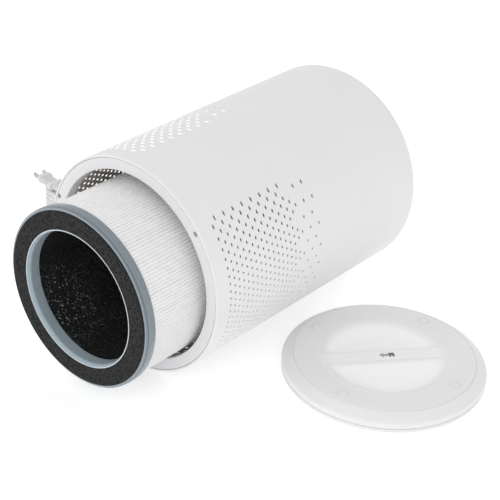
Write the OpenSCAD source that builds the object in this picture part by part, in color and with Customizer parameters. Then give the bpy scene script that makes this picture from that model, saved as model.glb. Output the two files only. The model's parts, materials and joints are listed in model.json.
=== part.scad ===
// Round air purifier, opened for a filter change: the housing lies on its side,
// the filter cartridge is drawn half out, and the bottom cover lies beside it.
// Each group of parts is drawn upright in its own frame, with +Z away from the
// open end or the floor, and then laid where it rests.

/* [Housing] */
// Outer radius of the round housing
housing_r = 125; // [122:0.5:128]
// Length of the housing from its open bottom end to its top
housing_len = 353; // [345:1:369]
// Thickness of the outer shell
shell_wall = 2.6; // [2:0.1:3]
// Rounding of the top edge
top_round = 12; // [8:1:12]
// Thickness of the bottom ring's flat face
ring_face = 3; // [2.4:0.2:3.6]
// Radius of the opening that the filter passes through
opening_r = 109.3; // [108.8:0.1:109.6]
// Turn of the front about the axis, below the horizontal, as the housing lies
front_turn = 20.8; // [0:0.2:30]

/* [Filter] */
// Outer radius of the filter's end caps
cap_r = 101.8; // [100:0.1:102]
// Radius of the filter's hollow core
core_r = 75; // [74:0.5:76]
// Length of the filter over its end caps
filter_len = 165; // [160:1:165]
// How far the filter is drawn out past the end of the housing
filter_out = 78.4; // [50:0.2:100]
// How far the filter sags below the axis of the housing
filter_sag = 7.2; // [0:0.1:7.2]

/* [Cover] */
// Outer radius of the bottom cover
cover_r = 114.8; // [113:0.1:116]
// Height of the cover's flat disc above its rim
cover_h = 19.5; // [18:0.1:21]
// Radius of the round finger recess
grip_r = 70; // [64:1:72]
// Width of the grip bar that crosses the recess
grip_bar = 21; // [19:0.5:27]
// Radius of one foot pad
foot_r = 6.5; // [5:0.5:8]
// Distance of the foot pads from the cover's centre
foot_ring = 89; // [86:1:92]
// Where the cover lies beside the housing: distance across
cover_x = 211.8; // [205:0.2:250]
// Where the cover lies beside the housing: distance along it
cover_y = 188; // [139:0.5:229]
// Direction of the grip bar as the cover lies
cover_turn = 50.4; // [0:0.2:90]

/* [Fan] */
// Outer radius of the impeller
impeller_r = 84; // [80:1:88]
// Number of impeller blades
blade_count = 11; // [7:1:13]
// Number of fixed vanes above the impeller
vane_count = 13; // [9:1:15]
// Number of slats in the outlet grille
slat_count = 48; // [36:1:54]

/* [Cord] */
// Diameter of the mains cord
cord_d = 6.5; // [6:0.1:6.6]
// Turn of the cord's exit from the middle of the back
exit_turn = 30; // [25:1:32]
// Number of turns in the tied hank
hank_turns = 4; // [4:1:4]

/* [Hidden] */
$fn = 96;
slit = 0.2;          // clearance between neighbouring pieces
eps = 0.01;

// Housing levels, measured from the open end
shell_in = housing_r - shell_wall;
end_round = 1.2;                     // small rounding of the shell's open end
rim_r = 101;                         // inner edge of the shell's turned-in top
collar_top = 15;                     // inner end of the ring's collar
collar_r = opening_r + 2.4;
lip_round = 0.9;                     // rounding of the opening's edge
deck_z = 168.8;                      // fan deck, just past the seated filter
deck_t = 3;
inlet_r = 62;
casing_r = 100.4;
casing_in = 98;
casing_top = housing_len - 12;
fan_z = 177;                         // lower lip of the impeller
hub_plate_z = 261;                   // plate that carries the motor
hub_r = 46;
vane_z = hub_plate_z - 4;            // middle of the fixed vanes
motor_r = 34;
motor_h = 31;
shaft_r = 4;
grille_z = housing_len - 12;
grille_h = 8;
column_top = housing_len - 12;
panel_top = housing_len - 4;
button_r = 11;
button_travel = 0.8;
exit_angle = 180 - exit_turn;
exit_z = 13;                         // height of the cord's exit above the open end
gland_len = 32;
sensor_z = 221;
slot_r = 119.6;                      // slots in the bottom ring's face

// Filter
cap_t = 12.5;
foam_in = 78;
foam_out = 98.3;
foam_proud = 2;
foam_depth = 4;
pleat_r = 100;
carbon_r = 82;
mesh_t = 1.5;
collar_len = 14.6;

// Cover
skin_t = 2.4;
crease_r = 103;
cover_edge = 12;
lug_r = 111.5;
foot_top = cover_h + 1.5;

// Cord: the hank lies behind the housing, and the plug rests on its end
hank_x = -265;
hank_y = 189;
hank_run = 104;
fold_r = 20;
hank_h = hank_turns * cord_d + slit;
tie_shift = 14;
tie_w = 9;
plug_tip = [-360, 184, 32.5];
plug_turn = 168.5;
pin_len = 14;
plug_len = 31;
plug_sleeve = 16;
route_bend = [
    [-155, 13, 99.9], [-161, 13, 98.9], [-167, 16, 96], [-172, 22, 90.5], [-175, 31, 82],
    [-177, 43, 71], [-178, 56, 59], [-179, 70, 46], [-180, 84, 33], [-181, 98, 21],
    [-182, 112, 12], [-183, 126, 6], [-185, 140, 3.4], [-190, 153, 3.25],
    [-199, 163, 3.25], [-211, 168.5, 3.25], [-224, 169, 3.25]
];
route_tail = [
    [-300.2, 171.8, 32.5], [-290, 170.2, 31.8], [-278, 169.2, 30.6], [-264, 169, 29.6],
    [-248, 169, 29.3], [-232, 169, 29.2], [-216, 169, 28.4]
];

// The origin is under the middle of the object, without its cord
origin_x = (cover_x + cover_r - housing_r) / 2;
origin_y = (housing_len - filter_out - foam_proud) / 2;

// ---------- where each group lies ----------

module on_floor() translate([-origin_x, -origin_y, 0]) children();

module in_housing()
    on_floor() translate([0, 0, housing_r]) rotate([-90, 0, 0]) rotate([0, 0, front_turn]) children();

module in_filter()
    on_floor() translate([0, -filter_out, housing_r - filter_sag]) rotate([-90, 0, 0]) children();

module in_cover()
    on_floor() translate([cover_x, cover_y, 0]) rotate([0, 0, cover_turn]) children();

module at_exit()
    in_housing() rotate([0, 0, exit_angle]) translate([housing_r, 0, exit_z]) rotate([0, 90, 0]) children();

module at_plug()
    on_floor() translate(plug_tip) rotate([0, 0, plug_turn + 180]) rotate([0, 90, 0]) children();

// ---------- shared shapes ----------

function arc(cx, cy, r, a0, a1, n = 8) =
    [for (i = [0 : n]) let (a = a0 + (a1 - a0) * i / n) [cx + r * cos(a), cy + r * sin(a)]];

module tube(r_out, r_in, z0, z1)
    translate([0, 0, z0])
        difference() {
            cylinder(r = r_out, h = z1 - z0);
            translate([0, 0, -1]) cylinder(r = r_in, h = z1 - z0 + 2);
        }

module disc(r, z0, z1) translate([0, 0, z0]) cylinder(r = r, h = z1 - z0);

module around(n, r, start = 0)
    for (i = [0 : n - 1]) rotate([0, 0, start + 360 * i / n]) translate([r, 0, 0]) children();

module stadium(run, r) {
    for (s = [-1, 1]) translate([s * run / 2, 0]) circle(r = r);
    square([run, 2 * r], center = true);
}

// One half of a circle with a strip of the given width taken off its flat side
module half_moon(r, strip)
    intersection() {
        circle(r = r);
        translate([-r, strip / 2]) square([2 * r, r]);
    }

// ---------- housing ----------

module shell_profile()
    polygon(concat(
        [[shell_in, 0]],
        arc(housing_r - end_round, end_round, end_round, 270, 360, 4),
        arc(housing_r - top_round, housing_len - top_round, top_round, 0, 90),
        [[rim_r, housing_len], [rim_r, housing_len - shell_wall]],
        arc(housing_r - top_round, housing_len - top_round, top_round - shell_wall, 90, 0)
    ));

module sensor_window(grow)
    rotate([0, 0, 180]) translate([housing_r, 0, sensor_z]) rotate([0, 90, 0])
        linear_extrude(height = 12, center = true) rotate(90) stadium(34, 9 + grow);

module outer_shell() color("whitesmoke") in_housing()
    difference() {
        rotate_extrude() shell_profile();
        sensor_window(slit);
        rotate([0, 0, exit_angle]) translate([housing_r - 8, 0, exit_z]) rotate([0, 90, 0])
            cylinder(r = 6, h = 16, $fn = 48);
    }

module bottom_ring() color("gainsboro") in_housing()
    difference() {
        rotate_extrude() polygon(concat(
            [[opening_r, collar_top]],
            arc(opening_r + lip_round, lip_round, lip_round, 180, 270, 4),
            [[shell_in - slit, 0], [shell_in - slit, ring_face], [collar_r + 3, ring_face],
             [collar_r, ring_face + 3], [collar_r, collar_top]]
        ));
        around(3, slot_r, 59) translate([-1.7, -3.4, -1]) cube([3.4, 6.8, ring_face + 2]);
    }

module sensor_cover() color("gainsboro") in_housing()
    difference() {
        intersection() {
            tube(housing_r - 0.4, shell_in, sensor_z - 40, sensor_z + 40);
            sensor_window(0);
        }
        for (i = [-5 : 5]) rotate([0, 0, 180]) translate([housing_r - 5, i * 4, sensor_z - 5])
            cube([8, 1.4, 10]);
    }

module top_grille() color("white") in_housing()
    translate([0, 0, grille_z]) linear_extrude(height = grille_h) {
        difference() { circle(r = rim_r - slit); circle(r = rim_r - 2.6); }
        difference() { circle(r = hub_r + 5); circle(r = hub_r + 2.6); }
        difference() { circle(r = 76); circle(r = 74.4); }
        for (i = [0 : slat_count - 1]) rotate(360 * i / slat_count)
            translate([hub_r + 3.5, -0.8]) square([rim_r - hub_r - 5, 1.6]);
    }

module control_panel() color("whitesmoke") in_housing() {
    rotate_extrude() polygon([
        [button_r + slit, column_top], [hub_r, column_top], [hub_r, panel_top - 1.5],
        [hub_r - 1.5, panel_top], [button_r + 3, panel_top], [button_r + slit, panel_top - 1]
    ]);
    around(3, 38) disc(2.5, column_top - 7.4, column_top + eps);
}

module light_ring() color("lightcyan") in_housing()
    tube(hub_r + 2.4, hub_r + slit, column_top, panel_top - 1);

module power_button() color("silver") in_housing() {
    rotate_extrude() polygon([
        [0, column_top - 1.2], [button_r + 2, column_top - 1.2], [button_r + 2, column_top - 0.2],
        [button_r, column_top - 0.2], [button_r, panel_top - 1.6], [button_r - 1.2, panel_top - 0.6],
        [0, panel_top - 1]
    ]);
    disc(2.5, column_top - 3, column_top - 1.2 + eps);
}

module electronics_column() color("silver") in_housing() {
    tube(hub_r, hub_r - 2, hub_plate_z + 28, column_top);
    around(3, hub_r - 5, 30) disc(3.2, hub_plate_z + 28, hub_plate_z + 32);
}

module control_board() color("seagreen") in_housing() {
    disc(hub_r - 2 - slit, column_top - 9, column_top - 7.4);
    around(8, 32) translate([-2, -1.5, column_top - 7.4]) cube([4, 3, 1.2]);
}

module panel_switch() color("dimgray") in_housing() {
    translate([-3, -3, column_top - 7.4]) cube([6, 6, 2.6]);
    disc(1.7, column_top - 4.8, column_top - 4);
}

module power_board() color("darkgreen") in_housing() {
    disc(hub_r - 2 - slit, hub_plate_z + 32, hub_plate_z + 33.6);
    translate([-20, -4, hub_plate_z + 33.6]) cube([22, 20, 16]);
    translate([14, 4, 0]) disc(8, hub_plate_z + 33.6, hub_plate_z + 52);
    translate([2, -20, 0]) disc(6.3, hub_plate_z + 33.6, hub_plate_z + 48);
    translate([-24, -22, hub_plate_z + 33.6]) cube([14, 12, 10]);
}

module deck_screw_places() around(6, 112) children();

module fan_deck() color("lightgray") in_housing()
    difference() {
        rotate_extrude() polygon(concat(
            [[shell_in - slit, deck_z], [shell_in - slit, deck_z + deck_t]],
            [[inlet_r + 8, deck_z + deck_t]],
            arc(inlet_r + 8, deck_z + deck_t - 8, 8, 90, 180, 5),
            [[inlet_r, deck_z - 8], [inlet_r + 2, deck_z - 8]],
            arc(inlet_r + 8, deck_z - 6, 6, 180, 90, 4)
        ));
        deck_screw_places() disc(2, deck_z - 1, deck_z + deck_t + 1);
    }

module inlet_guard() color("gray") in_housing()
    translate([0, 0, deck_z - 7]) linear_extrude(height = 2.4) {
        for (r = [14, 26, 38, 50, inlet_r - slit])
            difference() { circle(r = r); circle(r = r - 1.6); }
        for (i = [0 : 5]) rotate(60 * i) translate([13, -1]) square([inlet_r - 14, 2]);
        circle(r = 5);
        for (i = [0 : 2]) rotate(120 * i) translate([0, -1]) square([14, 2]);
    }

module fan_casing() color("lightgray") in_housing()
    difference() {
        union() {
            tube(casing_r, casing_in, deck_z + deck_t, casing_top);
            tube(118, casing_in, deck_z + deck_t, deck_z + deck_t + 6);
        }
        deck_screw_places() disc(2, deck_z, deck_z + deck_t + 5);
    }

module motor_screw_places() around(4, 22, 45) children();

module stator_vanes() color("silver") in_housing() {
    difference() {
        union() {
            tube(hub_r, hub_r - 2, hub_plate_z - 30, hub_plate_z + 28);
            disc(hub_r - 1, hub_plate_z, hub_plate_z + 3);
        }
        disc(6, hub_plate_z - 1, hub_plate_z + 4);
        motor_screw_places() disc(2.1, hub_plate_z - 1, hub_plate_z + 4);
    }
    tube(casing_in - slit, casing_in - 2.4, vane_z - 24, vane_z + 24);
    intersection() {
        tube(casing_in - 1, hub_r - 1, vane_z - 24, vane_z + 24);
        around(vane_count, 0) translate([0, 0, vane_z]) rotate([28, 0, 0])
            translate([hub_r - 4, -1, -30]) cube([60, 2, 60]);
    }
}

module drive_motor() color("slategray") in_housing()
    difference() {
        rotate_extrude() polygon([
            [shaft_r + 0.05, hub_plate_z - motor_h - 4], [12, hub_plate_z - motor_h - 4],
            [12, hub_plate_z - motor_h], [motor_r - 2, hub_plate_z - motor_h],
            [motor_r, hub_plate_z - motor_h + 2], [motor_r, hub_plate_z],
            [shaft_r + 0.05, hub_plate_z]
        ]);
        motor_screw_places() disc(2, hub_plate_z - 8, hub_plate_z + 1);
    }

module motor_screws() color("silver") in_housing()
    motor_screw_places() {
        disc(2, hub_plate_z - 8, hub_plate_z + 3);
        difference() {
            disc(3.8, hub_plate_z + 3, hub_plate_z + 5.6);
            disc(1.6, hub_plate_z + 4.2, hub_plate_z + 7);
        }
    }

module deck_screws() color("silver") in_housing()
    deck_screw_places() {
        disc(2, deck_z, deck_z + deck_t + 5);
        difference() {
            disc(3.8, deck_z - 2.4, deck_z);
            disc(1.6, deck_z - 3, deck_z - 1.2);
        }
    }

module particle_sensor() color("darkslategray") in_housing() {
    translate([-119.5, -19, sensor_z - 22]) cube([15, 38, 44]);
    translate([-121, -8, sensor_z - 4]) cube([1.5, 16, 8]);
}

module cable_duct() color("lightgray") in_housing()
    rotate([0, 0, exit_angle])
        difference() {
            intersection() {
                translate([112, -9, collar_top + 8]) cube([14, 18, deck_z - collar_top - 9]);
                disc(shell_in - slit, collar_top, deck_z);
            }
            translate([113.5, -7.5, 0]) cube([14, 15, deck_z]);
        }

module cover_switch() color("dimgray") in_housing()
    rotate([0, 0, 270]) {
        translate([114.9, -9, ring_face + slit]) cube([6, 18, 14]);
        translate([116, -1.5, ring_face + slit + 14]) cube([4, 3, 2]);
    }

// ---------- fan ----------

module motor_shaft() color("silver") in_housing()
    difference() {
        disc(shaft_r, fan_z + 4, hub_plate_z + 4);
        translate([-shaft_r, shaft_r - 1, fan_z + 3]) cube([2 * shaft_r, 2, 6]);
    }

module impeller_disc() color("darkgray") in_housing()
    translate([0, 0, fan_z]) rotate_extrude() polygon([
        [shaft_r, 12], [11, 12], [13, 26], [22, 40], [40, 45], [impeller_r, 46],
        [impeller_r, 48], [38, 47.2], [20, 43], [16, 36], [shaft_r, 36]
    ]);

module impeller_blades() color("darkgray") in_housing()
    translate([0, 0, fan_z + 8]) linear_extrude(height = 37)
        for (i = [0 : blade_count - 1]) rotate(360 * i / blade_count)
            intersection() {
                difference() { circle(r = impeller_r - 0.5); circle(r = 48); }
                translate([20, 50]) difference() { circle(r = 57); circle(r = 55); }
                translate([30, -30]) square([60, 50]);
            }

module impeller_shroud() color("darkgray") in_housing()
    translate([0, 0, fan_z]) rotate_extrude() polygon([
        [57.5, 0], [59.5, 0], [60.5, 3], [64, 6], [impeller_r, 6], [impeller_r, 8],
        [62, 8], [58.5, 4.5]
    ]);

module hub_nut() color("silver") in_housing()
    translate([0, 0, fan_z + 6])
        difference() {
            cylinder(r = 7, h = 5.8, $fn = 6);
            translate([0, 0, -1]) cylinder(r = shaft_r, h = 8);
        }

// ---------- filter ----------

// An end cap with its foam groove on the side of z = 0
module end_cap(collar)
    rotate_extrude() polygon([
        [core_r, 0.6], [core_r + 0.6, 0], [foam_in, 0], [foam_in, foam_depth],
        [foam_out, foam_depth], [foam_out, 0], [cap_r - 1, 0], [cap_r, 1], [cap_r, cap_t],
        [core_r + mesh_t, cap_t], [core_r + mesh_t, collar], [core_r, collar]
    ]);

module at_rear() translate([0, 0, filter_len]) mirror([0, 0, 1]) children();

module foam_ring() tube(foam_out - 0.1, foam_in + 0.1, -foam_proud, foam_depth);

module front_cap() color("lightslategray") in_filter() end_cap(collar_len);
module rear_cap() color("lightslategray") in_filter() at_rear() end_cap(collar_len);
module front_gasket() color("dimgray") in_filter() foam_ring();
module rear_gasket() color("dimgray") in_filter() at_rear() foam_ring();

module pleated_media() color("white") in_filter()
    tube(pleat_r, carbon_r, cap_t, filter_len - cap_t);

module carbon_layer() color([0.15, 0.15, 0.16]) in_filter()
    tube(carbon_r - 0.1, core_r + mesh_t + 0.1, cap_t, filter_len - cap_t);

module core_mesh() color([0.1, 0.1, 0.1]) in_filter()
    tube(core_r + mesh_t, core_r, collar_len, filter_len - collar_len);

// ---------- cover ----------

module cover_shell() color("whitesmoke") in_cover()
    difference() {
        rotate_extrude() polygon([
            [0, cover_h - skin_t], [crease_r - 1, cover_h - skin_t],
            [cover_r - skin_t, cover_edge - 2], [cover_r - skin_t, 0], [cover_r, 0],
            [cover_r, cover_edge - 1], [cover_r - 2, cover_edge + 1], [crease_r, cover_h], [0, cover_h]
        ]);
        for (s = [0, 180]) rotate([0, 0, s]) translate([0, 0, cover_h - 5])
            linear_extrude(height = 10) half_moon(grip_r, grip_bar);
    }

// The two finger bowls, under the openings in the skin
module grip_pan() color("whitesmoke") in_cover()
    for (s = [0, 180]) rotate([0, 0, s])
        difference() {
            translate([0, 0, 3]) linear_extrude(height = cover_h - skin_t - 3)
                half_moon(grip_r + 2, grip_bar - 4);
            translate([0, 0, 5]) linear_extrude(height = cover_h) half_moon(grip_r, grip_bar);
        }

module bayonet_collar() color("gainsboro") in_cover() {
    tube(106.4, 104, 1, cover_h - 5.8);
    intersection() {
        tube(lug_r, 105, 2, 6);
        around(3, 0, 60) translate([100, -3, 0]) cube([20, 6, 10]);
    }
}

module pressure_plate() color("gainsboro") in_cover() {
    tube(100, 74, 1, 3.2);
    for (r = [76, 98]) tube(r + 1.2, r - 1.2, 3.2 - eps, cover_h - skin_t);
}

module foot_pads() color("darkgray") in_cover()
    around(4, foot_ring, -44.5) disc(foot_r, cover_h, foot_top);

// A plain mark on the bar for the way the cover turns: a hollow arrow that points at a block
module lock_mark() color("gray") in_cover()
    translate([3, 0, cover_h]) linear_extrude(height = 0.25) {
        difference() {
            polygon([[-8.8, 0], [-4.6, -3.6], [-4.6, -1.6], [0.6, -1.6], [0.6, 1.6],
                [-4.6, 1.6], [-4.6, 3.6]]);
            polygon([[-7.4, 0], [-5.5, -1.7], [-5.5, -0.7], [-0.3, -0.7], [-0.3, 0.7],
                [-5.5, 0.7], [-5.5, 1.7]]);
        }
        difference() {
            translate([1.5, -3.4]) square([6.6, 6.8]);
            translate([4.2, -3.6]) square([1.2, 3]);
        }
    }

// ---------- cord ----------

function unit(v) = v / norm(v);

// Direction of the route at its point i
function heading(p, i) =
    unit(p[min(i + 1, len(p) - 1)] - p[max(i - 1, 0)]);

// One ring of points round the route at its point i
function ring(p, i, r, sides) =
    let (t = heading(p, i), a = unit(cross(t, [0.1, 0.2, 1])), b = cross(a, t))
    [for (k = [0 : sides - 1]) p[i] + r * (cos(360 * k / sides) * a + sin(360 * k / sides) * b)];

module sweep(p, r, sides = 10) {
    n = len(p);
    points = [for (i = [0 : n - 1]) for (q = ring(p, i, r, sides)) q];
    sides_faces = [for (i = [0 : n - 2]) for (k = [0 : sides - 1])
        [i * sides + k, i * sides + (k + 1) % sides, (i + 1) * sides + (k + 1) % sides, (i + 1) * sides + k]];
    ends = [[for (k = [sides - 1 : -1 : 0]) k], [for (k = [0 : sides - 1]) (n - 1) * sides + k]];
    polyhedron(points = points, faces = concat(sides_faces, ends), convexity = 6);
}

module cord_gland() color("white") at_exit()
    rotate_extrude($fn = 48) polygon([
        [0, -shell_wall - 4], [8.5, -shell_wall - 4], [8.5, -shell_wall - 1.4],
        [5.8, -shell_wall - 1], [5.8, 0.2], [8.4, 0.4], [8.4, 2.2], [6, 3],
        [4.4, gland_len], [0, gland_len]
    ]);

module power_cord() color("white") on_floor() sweep(route_bend, cord_d / 2);

module cord_hank() color("white") on_floor()
    translate([hank_x, hank_y, 0]) linear_extrude(height = hank_h)
        stadium(hank_run, fold_r + cord_d / 2);

module cord_tail() color("white") on_floor() sweep(route_tail, cord_d / 2);

// A band round the hank and the run that lies on it
module cord_tie() color("gray") on_floor()
    translate([hank_x + tie_shift, hank_y, 0]) rotate([90, 0, 90]) linear_extrude(height = tie_w)
        difference() {
            tie_outline(1);
            tie_outline(0);
            translate([-50, -5]) square([100, 5]);
        }

module tie_outline(grow) {
    side = fold_r + cord_d / 2 + slit + grow;
    polygon([
        [-side, -2 * grow], [-side, hank_h + 5 + grow], [-side + 2, hank_h + cord_d + 2 * slit + grow],
        [-fold_r + 4, hank_h + cord_d + 2 * slit + grow], [-fold_r + 12, hank_h + slit + grow],
        [side, hank_h + slit + grow], [side, -2 * grow]
    ]);
}

module plug_body() color("white") at_plug() {
    translate([0, 0, pin_len]) linear_extrude(height = plug_len) rotate(90) stadium(9, 5.9);
    translate([0, 0, pin_len + plug_len]) cylinder(r1 = 5.4, r2 = 4.2, h = plug_sleeve, $fn = 48);
}

module plug_pins() color("silver") at_plug()
    for (s = [-1, 1]) translate([0, s * 6.35, 0]) rotate([90, 0, 0])
        linear_extrude(height = 1.5, center = true) {
            translate([-3.15, 3.15]) square([6.3, pin_len - 3.15]);
            translate([0, 3.15]) circle(r = 3.15);
        }

// ---------- assembly ----------

outer_shell();
bottom_ring();
top_grille();
control_panel();
light_ring();
sensor_cover();
electronics_column();
control_board();
panel_switch();
power_board();
fan_deck();
inlet_guard();
fan_casing();
stator_vanes();
drive_motor();
motor_screws();
deck_screws();
particle_sensor();
cable_duct();
cover_switch();
cord_gland();
power_cord();
cord_hank();
cord_tail();
cord_tie();
plug_body();
plug_pins();
power_button();
motor_shaft();
impeller_disc();
impeller_blades();
impeller_shroud();
hub_nut();
front_cap();
rear_cap();
front_gasket();
rear_gasket();
pleated_media();
carbon_layer();
core_mesh();
cover_shell();
grip_pan();
bayonet_collar();
pressure_plate();
foot_pads();
lock_mark();
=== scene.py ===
"""Looks for the round air purifier: it lies on its side with its filter half out and its cover off."""
import json
import math

import bmesh
import bpy
import numpy as np
from mathutils import Matrix, Vector


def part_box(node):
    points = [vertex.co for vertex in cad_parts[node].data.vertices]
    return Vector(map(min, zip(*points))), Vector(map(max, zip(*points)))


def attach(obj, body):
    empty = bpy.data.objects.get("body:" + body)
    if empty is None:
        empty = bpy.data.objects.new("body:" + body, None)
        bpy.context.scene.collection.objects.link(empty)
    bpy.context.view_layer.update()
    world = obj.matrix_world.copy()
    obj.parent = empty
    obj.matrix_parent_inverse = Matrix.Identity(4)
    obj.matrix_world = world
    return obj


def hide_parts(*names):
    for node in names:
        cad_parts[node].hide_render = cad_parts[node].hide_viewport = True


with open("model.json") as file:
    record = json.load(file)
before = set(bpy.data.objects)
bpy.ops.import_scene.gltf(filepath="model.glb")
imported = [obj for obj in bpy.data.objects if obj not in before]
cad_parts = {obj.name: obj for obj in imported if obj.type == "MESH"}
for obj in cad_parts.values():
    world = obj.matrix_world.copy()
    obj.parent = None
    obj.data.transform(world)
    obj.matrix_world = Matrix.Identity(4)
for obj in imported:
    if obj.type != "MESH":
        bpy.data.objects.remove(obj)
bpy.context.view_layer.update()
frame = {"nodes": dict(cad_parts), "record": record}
MM = 0.001


# ---------- places, worked out from the frame ----------

def middle(node):
    low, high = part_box(node)
    return (low + high) / 2


AXIS_X = middle("outer_shell").x
AXIS_Z = middle("outer_shell").z
OPEN_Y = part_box("bottom_ring")[0].y
FRONT_TURN = 20.8         # degrees that the front lies below the horizontal
COVER_TURN = 50.4         # degrees from +X to the grip bar
KEY_PLACE = (0.75, -2.0, 2.0)
FILL_PLACE = (-1.4, -2.0, 1.6)

HOUSING = (
    Matrix.Translation((AXIS_X, OPEN_Y, AXIS_Z))
    @ Matrix.Rotation(math.radians(-90), 4, "X")
    @ Matrix.Rotation(math.radians(FRONT_TURN), 4, "Z")
    @ Matrix.Scale(MM, 4)
)
FILTER = (
    Matrix.Translation((middle("front_cap").x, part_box("front_cap")[0].y, middle("front_cap").z))
    @ Matrix.Rotation(math.radians(-90), 4, "X")
    @ Matrix.Scale(MM, 4)
)
COVER = (
    Matrix.Translation((middle("cover_shell").x, middle("cover_shell").y, 0))
    @ Matrix.Rotation(math.radians(COVER_TURN), 4, "Z")
    @ Matrix.Scale(MM, 4)
)
FLOOR = Matrix.Translation((AXIS_X, OPEN_Y, 0)) @ Matrix.Scale(MM, 4)

# Sizes in millimetres, as the CAD has them, but for the thinner wall
HOUSING_R = 125.0
HOUSING_LEN = 353.0
WALL = 2.6
FIELD_WALL = 1.5          # the shell is thinner where the intake holes are
TOP_ROUND = 12.0
END_ROUND = 1.2
RIM_R = 101.0
OPENING_R = 109.3
RING_FACE = 3.0
COLLAR_TOP = 15.0
DECK_Z = 168.8
CORD_D = 6.5


# ---------- camera ----------

LENS = 102.06
VIEW_ANGLES = (39.557, 30.925, 3.12)             # turn, rise and roll in degrees, fitted to the rims
VIEW_OFFSET = (0.92053, -0.91584, 0.92677)       # from the point under the opening's middle, in metres


def set_camera():
    camera = bpy.data.objects.new("camera", bpy.data.cameras.new("camera"))
    bpy.context.scene.collection.objects.link(camera)
    camera.data.lens = LENS
    camera.data.clip_start = 0.05
    camera.data.clip_end = 20
    turn, rise, roll = (math.radians(a) for a in VIEW_ANGLES)
    back = Vector((math.sin(turn) * math.cos(rise), -math.cos(turn) * math.cos(rise), math.sin(rise)))
    right = (-back).cross(Vector((0, 0, 1))).normalized()
    up = right.cross(-back)
    rolled_right = math.cos(roll) * right + math.sin(roll) * up
    rolled_up = math.cos(roll) * up - math.sin(roll) * right
    place = Matrix((rolled_right, rolled_up, back)).transposed().to_4x4()
    place.translation = [a + b for a, b in zip((AXIS_X, OPEN_Y, 0), VIEW_OFFSET)]
    camera.matrix_world = place
    bpy.context.scene.camera = camera


set_camera()


# ---------- materials ----------

class Look:
    """A material's node tree, with short ways to add what this scene needs."""

    def __init__(self, name, color, roughness, **sockets):
        self.material = bpy.data.materials.new(name)
        self.material.use_nodes = True
        self.material.diffuse_color = (*color, 1)
        self.tree = self.material.node_tree
        self.shader = self.tree.nodes["Principled BSDF"]
        self.shader.inputs["Base Color"].default_value = (*color, 1)
        self.shader.inputs["Roughness"].default_value = roughness
        self.color = color
        self.roughness = roughness
        for socket, value in sockets.items():
            self.shader.inputs[socket.replace("_", " ")].default_value = value
        self.coords = self.tree.nodes.new("ShaderNodeTexCoord").outputs["Object"]
        self.normal = None

    def add(self, kind, **settings):
        node = self.tree.nodes.new(kind)
        for name, value in settings.items():
            setattr(node, name, value)
        return node

    def link(self, out, into):
        self.tree.links.new(out, into)

    def noise(self, size_mm, detail=2.0, stretch=None):
        """Noise with features of about that size, as a value near 0.5"""
        node = self.add("ShaderNodeTexNoise")
        node.inputs["Scale"].default_value = 1000 / size_mm
        node.inputs["Detail"].default_value = detail
        source = self.coords
        if stretch:
            mapping = self.add("ShaderNodeMapping")
            mapping.inputs["Scale"].default_value = stretch
            self.link(source, mapping.inputs["Vector"])
            source = mapping.outputs["Vector"]
        self.link(source, node.inputs["Vector"])
        return node.outputs["Fac"]

    def spread(self, value, low, high, start=0.3, end=0.7):
        """Map a value from start..end to low..high"""
        node = self.add("ShaderNodeMapRange")
        for name, number in zip(("From Min", "From Max", "To Min", "To Max"), (start, end, low, high)):
            node.inputs[name].default_value = number
        self.link(value, node.inputs["Value"])
        return node.outputs["Result"]

    def tint(self, value, other, start=0.3, end=0.7):
        """Mix the colour so far with another one where the value is high"""
        node = self.add("ShaderNodeMix", data_type="RGBA")
        self.link(self.spread(value, 0, 1, start, end), node.inputs["Factor"])
        color = self.shader.inputs["Base Color"]
        if color.is_linked:
            self.link(color.links[0].from_socket, node.inputs["A"])
        else:
            node.inputs["A"].default_value = (*self.color, 1)
        node.inputs["B"].default_value = (*other, 1)
        self.link(node.outputs["Result"], color)
        return self

    def reach(self, centre, keep):
        """How far a point is from the centre, in metres, along the axes that are kept"""
        mapping = self.add("ShaderNodeMapping")
        mapping.inputs["Location"].default_value = [-c * k for c, k in zip(centre, keep)]
        mapping.inputs["Scale"].default_value = keep
        self.link(self.coords, mapping.inputs["Vector"])
        node = self.add("ShaderNodeVectorMath", operation="LENGTH")
        self.link(mapping.outputs["Vector"], node.inputs[0])
        return node.outputs["Value"]

    def rough(self, value, change):
        low, high = self.roughness - change, self.roughness + change
        self.link(self.spread(value, low, high), self.shader.inputs["Roughness"])
        return self

    def bump(self, value, height_mm):
        node = self.add("ShaderNodeBump")
        node.inputs["Distance"].default_value = height_mm * MM
        node.inputs["Strength"].default_value = 1.0
        self.link(value, node.inputs["Height"])
        if self.normal is not None:
            self.link(self.normal, node.inputs["Normal"])
        self.normal = node.outputs["Normal"]
        self.link(self.normal, self.shader.inputs["Normal"])
        return self


def moulded(name, color, roughness=0.42, shade=0.94, grain=0.02):
    """Moulded plastic: fine spark texture, faint flow marks, handling marks in the gloss"""
    look = Look(name, color, roughness)
    look.tint(look.noise(60, 3), tuple(c * shade for c in color))
    look.rough(look.noise(25, 4), 0.06)
    look.bump(look.noise(0.7, 2), grain)
    look.bump(look.noise(38, 1), 0.05)
    return look.material


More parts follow.
